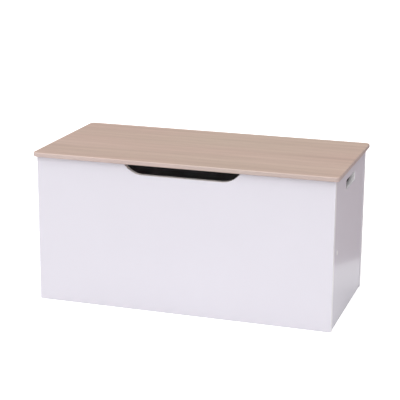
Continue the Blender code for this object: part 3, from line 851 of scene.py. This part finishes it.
def makeBoxLeaf(side, axis, centreX, lidKnuckle):
    low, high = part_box(f"{side}_hinge_box_leaf")
    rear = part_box(f"{side}_hinge_box_screw_left")[1].y
    front = rear - hingeLooks["leafThickness"]
    top = axis.z - hingeLooks["leafGap"]
    corner, inset = hingeLooks["leafCorner"], hingeLooks["inset"]
    outline = roundCorners(rectangle(low.x, high.x, low.z, top), [corner, corner, 0, 0], 8)
    leaf = slab(f"{side}HingeBoxLeaf", outline, "Y", front, rear, zincPlate)
    gap = lidKnuckle + boreClearance
    for index, (lowX, highX) in enumerate(((low.x, centreX - gap), (centreX + gap, high.x))):
        shoulder = block(
            f"{side}BoxShoulder{index}",
            (lowX + inset, front + inset, top - hingeLooks["overlap"]),
            (highX - inset, rear - inset, axis.z - hingeLooks["shoulderDrop"]),
        )
        weld(leaf, shoulder)
        start = (lowX, axis.y, axis.z)
        radius = hingeLooks["knuckleRadius"]
        weld(leaf, rod(f"{side}BoxKnuckle{index}", radius, highX - lowX, start, (1, 0, 0), facets=48))
    borePin(leaf, side, axis)
    for end in ("left", "right"):
        centre = middle(f"{side}_hinge_box_screw_{end}")
        sinkHead(leaf, f"{side}BoxSink{end}", (centre.x, rear, centre.z), (0, -1, 0))
    settle(leaf)
    place(leaf, "box", "zinc", f"{side}_hinge_box_leaf")


def makeLidLeaf(side, axis, centreX, lidKnuckle):
    low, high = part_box(f"{side}_hinge_lid_leaf")
    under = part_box(f"{side}_hinge_lid_screw_left")[0].z
    top = under + hingeLooks["leafThickness"]
    rear = axis.y - hingeLooks["leafGap"]
    corner, inset = hingeLooks["leafCorner"], hingeLooks["inset"]
    outline = roundCorners(rectangle(low.x, high.x, low.y, rear), [corner, corner, 0, 0], 8)
    leaf = slab(f"{side}HingeLidLeaf", outline, "Z", under, top, zincPlate)
    shoulder = block(
        f"{side}LidShoulder",
        (centreX - lidKnuckle + inset, rear - hingeLooks["overlap"], under + inset),
        (centreX + lidKnuckle - inset, axis.y - hingeLooks["shoulderDrop"], top - inset),
    )
    weld(leaf, shoulder)
    start = (centreX - lidKnuckle, axis.y, axis.z)
    radius = hingeLooks["knuckleRadius"]
    weld(leaf, rod(f"{side}LidKnuckle", radius, 2 * lidKnuckle, start, (1, 0, 0), facets=48))
    borePin(leaf, side, axis)
    for end in ("left", "right"):
        centre = middle(f"{side}_hinge_lid_screw_{end}")
        sinkHead(leaf, f"{side}LidSink{end}", (centre.x, centre.y, under), (0, 0, 1))
    settle(leaf)
    place(leaf, "lid", "zinc", f"{side}_hinge_lid_leaf")


def borePin(leaf, side, axis):
    low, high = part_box(f"{side}_hinge_pin")
    radius, past = hingeLooks["pinRadius"] + boreClearance, 2 * cutBeyond
    start = (low.x - past, axis.y, axis.z)
    cut(leaf, rod(leaf.name + "Bore", radius, high.x - low.x + 2 * past, start, (1, 0, 0), facets=32))


def sinkHead(plate, name, face, direction):
    # A countersunk hole whose mouth is in the outer face of a plate.
    head = woodScrew["headRadius"] + boreClearance
    shank = woodScrew["shankRadius"] + boreClearance
    mouth, coneEnd = hingeLooks["sink"]
    profile = [(-cutBeyond, head), (mouth, head), (coneEnd, shank), (4 * cutBeyond, shank)]
    cut(plate, lathe(name, profile, face, direction, facets=32))


# Telescopic lid stays. Distances along a stay start at the pivot of its own piece.

stayLooks = {
    "studRadius": 0.003,
    "studHead": 0.0015,  # how thick its head is, and how far it stands out
    "eyeRadius": 0.006,
    "eyeWidth": 0.006,
    "rodRadius": 0.003,
    "rodStart": 0.0045,
    "rodChamfer": 0.0004,
    "tubeRadius": 0.007,
    "tubeStart": 0.010,
    "tubeLength": 0.130,
    "tubeFloor": 0.004,
    "neckRadius": 0.0035,
    "neckLength": 0.008,
    "boreRadius": 0.0036,
    "guideRadius": 0.0052,
    "guideDepth": 0.004,
    "guideSlack": (0.0002, 0.0001),  # behind the guide and round it
    "groove": (0.0080, 0.0010, 0.0005),  # from the tube's end, half width and depth
}
collarLooks = {"start": 0.0048, "end": 0.0105, "taper": 0.0010, "radius": 0.0042, "edge": 0.0006}


def eyeRing(name, pivot, across, finish):
    half = stayLooks["eyeWidth"] / 2
    inner = stayLooks["studRadius"] + boreClearance
    outer = stayLooks["eyeRadius"]
    corners = [(-half, inner), (-half, outer), (half, outer), (half, inner)]
    profile = roundCorners(corners, [0.0003, 0.0008, 0.0008, 0.0003], 4)
    return lathe(name, profile, pivot, across, finish, 48, closed=True)


def makeStay(side, sign):
    lidPivot = Vector(joints[f"{side}_cylinder_pivot"]["pos_m"])
    sidePivot = Vector(joints[f"{side}_rod_pivot"]["pos_m"])
    down = (sidePivot - lidPivot).normalized()
    across = Vector((sign, 0, 0))
    makeStayRod(side, sidePivot, -down, across)
    makeStayTube(side, lidPivot, down, across)
    makeSideBracket(side, sign, sidePivot)
    makeLidBracket(side, sign, lidPivot)


def makeStayRod(side, pivot, along, across):
    radius, chamfer = stayLooks["rodRadius"], stayLooks["rodChamfer"]
    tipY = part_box(f"{side}_stay_rod")[0].y
    length = (pivot.y - tipY - radius * abs(along.z)) / abs(along.y)
    stayRod = eyeRing(f"{side}StayRod", pivot, across, chromeRod)
    profile = [(stayLooks["rodStart"], radius), (length - chamfer, radius), (length, radius - chamfer)]
    weld(stayRod, lathe(f"{side}RodShaft", profile, pivot, along, chromeRod, 32))
    start, end, wide = collarLooks["start"], collarLooks["end"], collarLooks["radius"]
    corners = [(start, 0), (start, wide), (end, wide), (end + collarLooks["taper"], 0)]
    profile = roundCorners(corners, [0, 0, collarLooks["edge"], 0], 4, closed=False)
    weld(stayRod, lathe(f"{side}RodCollar", profile, pivot, along, chromeRod, 32))
    settle(stayRod)
    place(stayRod, f"{side}_rod", "chrome", f"{side}_stay_rod")


def makeStayTube(side, pivot, down, across):
    tube, bore = stayLooks["tubeRadius"], stayLooks["boreRadius"]
    start, end = stayLooks["tubeStart"], stayLooks["tubeStart"] + stayLooks["tubeLength"]
    guide, guideDepth = stayLooks["guideRadius"], stayLooks["guideDepth"]
    grooveFromEnd, grooveHalf, grooveDepth = stayLooks["groove"]
    corners = [
        (start, 0),
        (start, tube),
        (end - grooveFromEnd - grooveHalf, tube),
        (end - grooveFromEnd, tube - grooveDepth),
        (end - grooveFromEnd + grooveHalf, tube),
        (end, tube),
        (end, guide),
        (end - guideDepth, guide),
        (end - guideDepth, bore),
        (start + stayLooks["tubeFloor"], bore),
        (start + stayLooks["tubeFloor"], 0),
    ]
    radii = [0, 0.0018, 0.0004, 0.0004, 0.0004, 0.0014, 0.0001, 0, 0, 0, 0]
    profile = roundCorners(corners, radii, 5, closed=False)
    cylinder = lathe(f"{side}StayCylinder", profile, pivot, down, greyTube, 48)
    neckStart = pivot + down * stayLooks["rodStart"]
    neckRadius, neckLength = stayLooks["neckRadius"], stayLooks["neckLength"]
    weld(cylinder, rod(f"{side}CylinderNeck", neckRadius, neckLength, neckStart, down, greyTube, 32))
    weld(cylinder, eyeRing(f"{side}CylinderEye", pivot, across, greyTube))
    reach = 10 * cutBeyond
    radius = stayLooks["studRadius"] + boreClearance
    eyeBore = rod(f"{side}CylinderEyeBore", radius, 2 * reach, pivot - across * reach, across, facets=48)
    cut(cylinder, eyeBore)
    settle(cylinder)
    place(cylinder, f"{side}_cylinder", "grey_metal", f"{side}_stay_cylinder")

    slackBehind, slackRound = stayLooks["guideSlack"]
    near, outer = end - guideDepth + slackBehind, guide - slackRound
    inner = stayLooks["rodRadius"] + boreClearance
    corners = [(near, inner), (near, outer), (end, outer), (end, inner)]
    profile = roundCorners(corners, [0.0002, 0.0002, 0.0005, 0.0004], 4)
    seal = lathe(f"{side}StayGuide", profile, pivot, down, guidePlastic, 48, closed=True)
    place(seal, f"{side}_cylinder", "grey_metal")


bracketLooks = {
    "thickness": 0.002,
    "cornerRadius": 0.004,
    "edgeRadius": 0.0003,
    "studRoot": 0.001,  # how deep a stud starts in its plate
    "plateReach": 0.008,  # how far the lid's plate goes inwards past the pivot
    "lugTop": 0.011,  # half of the lug's width at the plate
    "lugFoot": 0.008,  # half of its width at the bottom
    "lugDrop": 0.007,  # how far it goes below the pivot
    "lugCorner": 0.006,
    "lugInset": 0.0002,
}


def studFor(name, rootX, headX, pivot, sign):
    # A pivot stud from its plate inwards, with a domed head that keeps the eye on.
    radius, head = stayLooks["studRadius"], stayLooks["studHead"]
    length = abs(headX - rootX)
    corners = [
        (0, 0),
        (0, radius),
        (length - head, radius),
        (length - head, radius + head),
        (length, radius + head - 0.0001),
        (length, 0),
    ]
    profile = roundCorners(corners, [0, 0, 0, 0.0002, 0.0008, 0], 4, closed=False)
    return lathe(name, profile, (rootX, pivot.y, pivot.z), (-sign, 0, 0), zincPlate, 32)


def makeSideBracket(side, sign, pivot):
    low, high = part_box(f"{side}_stay_side_bracket")
    outer, headX = (high.x, low.x)[::sign]
    inner = outer - sign * bracketLooks["thickness"]
    corners = rectangle(low.y, high.y, low.z, high.z)
    outline = roundCorners(corners, [bracketLooks["cornerRadius"]] * 4, 8)
    lowX, highX = sorted((outer, inner))
    bracket = slab(f"{side}StaySideBracket", outline, "X", lowX, highX, zincPlate)
    softenEdges(bracket, bracketLooks["edgeRadius"], 2)
    rootX = inner + sign * bracketLooks["studRoot"]
    weld(bracket, studFor(f"{side}SideStud", rootX, headX, pivot, sign))
    for level in ("upper", "lower"):
        centre = middle(f"{side}_stay_side_screw_{level}")
        sinkHead(bracket, f"{side}SideSink{level}", (inner, centre.y, centre.z), (sign, 0, 0))
    settle(bracket)
    place(bracket, "box", "zinc", f"{side}_stay_side_bracket")


def makeLidBracket(side, sign, pivot):
    low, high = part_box(f"{side}_stay_lid_bracket")
    top = high.z
    under = top - bracketLooks["thickness"]
    outer, headX = (high.x, low.x)[::sign]
    lowX, highX = sorted((pivot.x - sign * bracketLooks["plateReach"], outer))
    corners = rectangle(lowX, highX, low.y, high.y)
    outline = roundCorners(corners, [bracketLooks["cornerRadius"]] * 4, 8)
    bracket = slab(f"{side}StayLidBracket", outline, "Z", under, top, zincPlate)
    softenEdges(bracket, bracketLooks["edgeRadius"], 2)
    inset, drop = bracketLooks["lugInset"], bracketLooks["lugDrop"]
    lug = [
        (pivot.y - bracketLooks["lugTop"], top - 2 * inset),
        (pivot.y + bracketLooks["lugTop"], top - 2 * inset),
        (pivot.y + bracketLooks["lugFoot"], pivot.z - drop),
        (pivot.y - bracketLooks["lugFoot"], pivot.z - drop),
    ]
    corner = bracketLooks["lugCorner"]
    outline = roundCorners(lug, [0, 0, corner, corner], 8)
    lugX = sorted((outer - sign * inset, outer - sign * bracketLooks["thickness"]))
    weld(bracket, slab(f"{side}LidLug", outline, "X", *lugX))
    rootX = outer - sign * bracketLooks["studRoot"]
    weld(bracket, studFor(f"{side}LidStud", rootX, headX, pivot, sign))
    for end in ("front", "rear"):
        centre = middle(f"{side}_stay_lid_screw_{end}")
        sinkHead(bracket, f"{side}LidBracketSink{end}", (centre.x, centre.y, under), (0, 0, 1))
    settle(bracket)
    place(bracket, "lid", "zinc", f"{side}_stay_lid_bracket")


# Bumpers.

bumperLooks = {"stemRadius": 0.0015, "headRadius": 0.004, "crownShare": 0.85, "gap": 0.0001}


def makeBumper(side):
    low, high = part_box(f"{side}_bumper")
    centre = middle(f"{side}_bumper")
    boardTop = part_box("front_panel")[1].z
    headUnder = boardTop - low.z + bumperLooks["gap"]
    top = high.z - low.z
    stem, head = bumperLooks["stemRadius"], bumperLooks["headRadius"]
    corners = [
        (0, 0),
        (0, stem),
        (headUnder, stem),
        (headUnder, head),
        (top, head * bumperLooks["crownShare"]),
        (top, 0),
    ]
    profile = roundCorners(corners, [0, 0.0006, 0, 0.0002, 0.0006, 0], 5, closed=False)
    start = (centre.x, centre.y, low.z)
    bumper = lathe(f"{side}Bumper", profile, start, (0, 0, 1), bumperRubber, 48)
    place(bumper, "box", "soft_rubber", f"{side}_bumper")


makeFrontBoard()
makeBackBoard()
for side, sign in sides.items():
    makeSideBoard(side, sign)
makeFloorBoards()
makeLidBoard()
print("toy box: boards made")
woodScrewMesh = makeWoodScrewMesh()
rearScrewMesh = makeRearScrewMesh()
driveAllScrews()
print("toy box: screws driven")
for side, sign in sides.items():
    makeCamCap(side, sign)
    makeHinge(side)
    makeStay(side, sign)
    makeBumper(side)
dressHiddenPieces()
print("toy box: fittings made")


# Floor, light and camera.

studio = {
    "floorColour": (0.93, 0.93, 0.93),
    "floorGlow": 0.45,  # lights the floor evenly for the camera
    "floorReach": 40.0,
    "bounceColour": (0.80, 0.785, 0.81),  # what light and gloss find of the floor
    "dimColour": (0.365, 0.315, 0.335),  # and what they find of it past a line at the back right
    "dimDistance": 0.600,
    "dimTurn": 32.0,
    "softboxPlace": (-0.22, -0.19, 0.94),
    "softboxCosines": (0.62, 0.80),  # where its glow begins and where it is full
    "softboxStrength": 2.22,
    "brightSide": (0.62, -0.75, 0.22),
    "brightCosines": (0.30, 0.85),
    "roomStrengths": (0.165, 0.71),
    "lightColour": (1.0, 0.995, 1.0),
}
cameraLooks = {
    "azimuth": 17.819,
    "elevation": 15.334,
    "roll": 0.396,
    "distance": 3.4218,
    "aim": (-0.0112, 0.0, 0.2560),
    "lens": 115.93,
}


def makeFloorFinish(name, colour, glow):
    finish, tree, shader = newFinish(name, colour, 0.6)
    shader.inputs["Specular IOR Level"].default_value = 0.0
    low = tuple(c * 0.985 for c in colour)
    tone = rampOf(tree, noiseOf(tree, (2, 2, 2), 2), [(0.3, low), (0.7, colour)])
    tree.links.new(tone, shader.inputs["Base Color"])
    tree.links.new(tone, shader.inputs["Emission Color"])
    shader.inputs["Emission Strength"].default_value = glow
    return finish


def makeFloor():
    # The camera sees one pale floor. Light and gloss see the floor just under it instead, which
    # is dim past a line at the back right, as in a studio with its lamps at the front.
    reach, line, depth = studio["floorReach"], studio["dimDistance"], 0.0005
    rays = ("visible_diffuse", "visible_glossy", "visible_transmission", "visible_shadow")
    for name, near, far, top, colour, glow, hidden in (
        ("studioFloor", -reach, reach, 0, "floorColour", studio["floorGlow"], rays),
        ("studioBounce", -reach, line, -2 * depth, "bounceColour", 0, ("visible_camera",)),
        ("studioDimSide", line, reach, -2 * depth, "dimColour", 0, ("visible_camera",)),
    ):
        finish = makeFloorFinish(name, studio[colour], glow)
        piece = block(name, (near, -reach, top - depth), (far, reach, top), finish)
        piece.rotation_euler.z = math.radians(studio["dimTurn"])
        for setting in hidden:
            setattr(piece, setting, False)


def facing(tree, direction, towards, fromRange, toRange):
    # How squarely a direction in the room points towards a place, as a range of strengths.
    dot = addNode(tree, "ShaderNodeVectorMath", {"operation": "DOT_PRODUCT"})
    dot.inputs[1].default_value = Vector(towards).normalized()
    tree.links.new(direction, dot.inputs[0])
    spread = addNode(tree, "ShaderNodeMapRange", {"interpolation_type": "SMOOTHSTEP"})
    for name, value in zip(("From Min", "From Max", "To Min", "To Max"), (*fromRange, *toRange)):
        spread.inputs[name].default_value = value
    tree.links.new(dot.outputs["Value"], spread.inputs["Value"])
    return spread.outputs["Result"]


def makeWorld():
    # A big softbox overhead, a little to the left and the front, in a room that is brighter
    # towards the front right.
    world = bpy.data.worlds.new("softRoom")
    world.use_nodes = True
    tree = world.node_tree
    background = tree.nodes["Background"]
    background.inputs["Color"].default_value = (*studio["lightColour"], 1)
    direction = addNode(tree, "ShaderNodeTexCoord").outputs["Generated"]
    softbox = facing(
        tree, direction, studio["softboxPlace"], studio["softboxCosines"], (0, studio["softboxStrength"])
    )
    room = facing(
        tree, direction, studio["brightSide"], studio["brightCosines"], studio["roomStrengths"]
    )
    total = addNode(tree, "ShaderNodeMath", {"operation": "ADD"})
    tree.links.new(softbox, total.inputs[0])
    tree.links.new(room, total.inputs[1])
    tree.links.new(total.outputs["Value"], background.inputs["Strength"])
    bpy.context.scene.world = world


def makeCamera():
    azimuth, elevation, roll = (math.radians(cameraLooks[k]) for k in ("azimuth", "elevation", "roll"))
    back = Vector(
        (
            math.sin(azimuth) * math.cos(elevation),
            -math.cos(azimuth) * math.cos(elevation),
            math.sin(elevation),
        )
    )
    right = Vector((math.cos(azimuth), math.sin(azimuth), 0))
    up = back.cross(right)
    rolledRight = right * math.cos(roll) + up * math.sin(roll)
    rolledUp = up * math.cos(roll) - right * math.sin(roll)
    turn = Matrix((rolledRight, rolledUp, back)).transposed().to_4x4()
    lens = bpy.data.cameras.new("studioCamera")
    lens.lens = cameraLooks["lens"]
    lens.sensor_width = 36
    camera = bpy.data.objects.new("studioCamera", lens)
    bpy.context.scene.collection.objects.link(camera)
    where = Vector(cameraLooks["aim"]) + back * cameraLooks["distance"]
    camera.matrix_world = Matrix.Translation(where) @ turn
    bpy.context.scene.camera = camera


makeFloor()
makeWorld()
makeCamera()
bpy.context.scene.view_settings.view_transform = "Standard"
print("toy box: floor, light and camera set")
